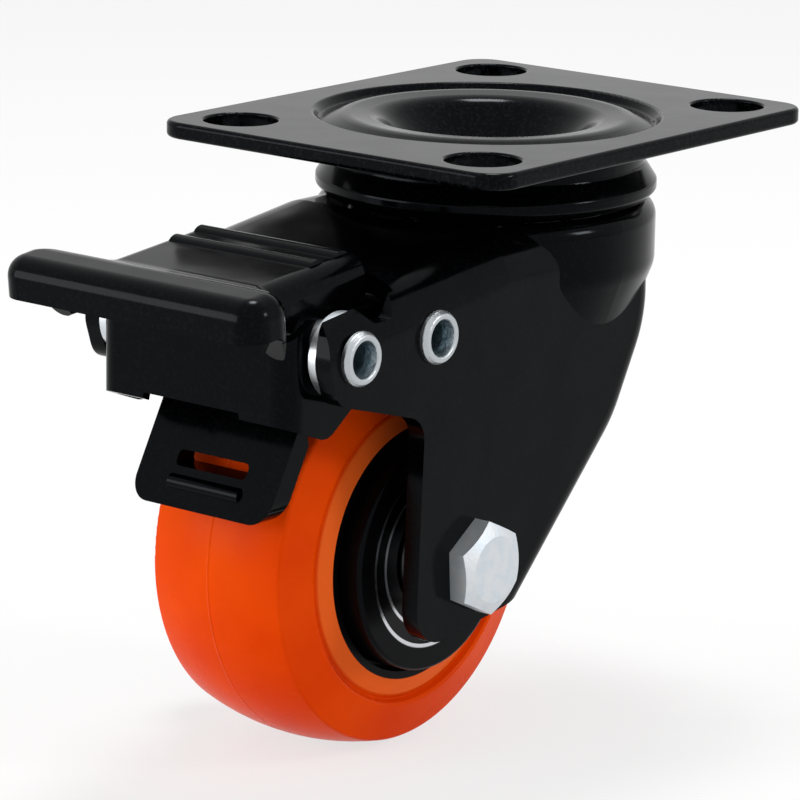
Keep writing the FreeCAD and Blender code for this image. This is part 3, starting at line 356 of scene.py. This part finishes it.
# Rivets. Two hollow rivets hold the ears together, with their ends rolled over. The rolled
# ends are lighter, and the bore is coloured darker and bluer.
def rivet_zinc(name, y, z):
    """Zinc for a rivet whose axis runs through y and z."""
    zinc = bright_zinc(name, roughness=0.28)
    zinc.bump(zinc.noise(0.8, 2) * 0.10)
    bore = (0.34, 0.44, 0.49)
    rolled = (0.46, 0.49, 0.51)
    rim = 3.1
    way_out = zinc.from_line(y, z) / rim
    zinc.set("Base Color", zinc.ramp(way_out, (0.60, bore), (0.68, rolled)))
    return zinc


rivet_zinc("front_rivet_zinc", y=-45.7, z=-19.2).coat("front_rivet")
rivet_zinc("rear_rivet_zinc", y=-32.0, z=-19.1).coat("rear_rivet")

# Tubes and washers on the rivets. They keep the ears apart and the channel in the middle.
# All are zinc plated and mostly hidden.
bright_zinc("spacer_zinc").coat("pivot_tube", "rear_tube", "pivot_washers")

# Foot pedal. A thick sheet is pressed with a rolled lip, wings and two ridges for grip,
# then enamelled. Its top is a little scuffed and dusty.
black_enamel("pedal_enamel", waves=0.12, peel=0.004, dust=0.004).coat("pedal")

# Cam pin and lock spring. The pin crosses the pedal and presses the channel down. The leaf
# spring under the pedal's tail is tempered blue and oiled.
polished_steel("pin_steel").coat("cam_pin")
spring = Finish("tempered_steel", (0.16, 0.17, 0.20), metallic=1.0, roughness=0.32)
spring.coat("lock_spring")

# Floor. The castor stands on a wide, plain, pale sheet. Part of what the eye sees of it is
# its own even white, and the rest is lit, so that it keeps the castor's shadow.
bpy.ops.object.select_all(action="DESELECT")
floor_size = 6.0
own_white = 0.7
bpy.ops.mesh.primitive_plane_add(size=floor_size, location=(0, 0, cad_low.z))
floor = bpy.context.object
floor.name = "floor"
pale = Finish("pale_floor", (0.9, 0.9, 0.9), roughness=0.9)
glow = pale.node("ShaderNodeEmission", {}, {"Color": (1, 1, 1, 1), "Strength": 1.0})
sheet = Wire(pale, pale.shader.outputs[0])
lit = pale.node("ShaderNodeMixShader", {}, {0: pale.seen() * own_white, 1: sheet, 2: glow})
pale.feed(pale.tree.nodes["Material Output"].inputs["Surface"], lit)
floor.data.materials.append(pale.material)

# Studio. A plain white room gives soft light from all round, and soft boxes above and at
# both sides draw the highlights along the folds.
world = bpy.data.worlds.new("white_room")
bpy.context.scene.world = world
world.use_nodes = True
room = Recipe(world.node_tree)
walls = room.tree.nodes["Background"]
room.feed(walls.inputs["Color"], (1, 1, 1, 1))
room_light = 0.5
room_white = 1.0
room.feed(walls.inputs["Strength"], room_light + room.seen() * (room_white - room_light))


castor_middle = Vector((0, 0, -0.03))


def soft_box(name, spot, size, watts):
    """A square lamp at a spot, turned to face the castor."""
    lamp = bpy.data.lights.new(name, "AREA")
    lamp.size = size
    lamp.energy = watts
    item = bpy.data.objects.new(name, lamp)
    bpy.context.scene.collection.objects.link(item)
    item.location = spot
    away = Vector(spot) - castor_middle
    item.rotation_euler = away.to_track_quat("Z", "Y").to_euler()


soft_box("top_box", spot=(-0.1, 0.15, 0.6), size=0.16, watts=2.4)
soft_box("left_box", spot=(-0.36, -0.58, 0.03), size=0.4, watts=2.4)
soft_box("right_box", spot=(0.55, 0.20, 0.25), size=0.12, watts=1.0)

# Camera. It stands where the photographer stood, in front of the bolt's side and a
# little above the plate, with a long lens.
camera_spot = (0.31384, -0.40757, 0.09264)
lens_length = 197.1
azimuth = math.radians(38.69)
elevation = math.radians(13.99)
roll = math.radians(0.96)
back = Vector((
    math.sin(azimuth) * math.cos(elevation),
    -math.cos(azimuth) * math.cos(elevation),
    math.sin(elevation),
))
level = Vector((math.cos(azimuth), math.sin(azimuth), 0))
upright = back.cross(level)
right = level * math.cos(roll) + upright * math.sin(roll)
top = upright * math.cos(roll) - level * math.sin(roll)
lens = bpy.data.cameras.new("camera")
lens.lens = lens_length
lens.sensor_width = 36.0
lens.clip_start = 0.01
camera = bpy.data.objects.new("camera", lens)
bpy.context.scene.collection.objects.link(camera)
turn = Matrix((right, top, back)).transposed().to_4x4()
camera.matrix_world = Matrix.Translation(camera_spot) @ turn
bpy.context.scene.camera = camera
bpy.context.scene.view_settings.view_transform = "Standard"
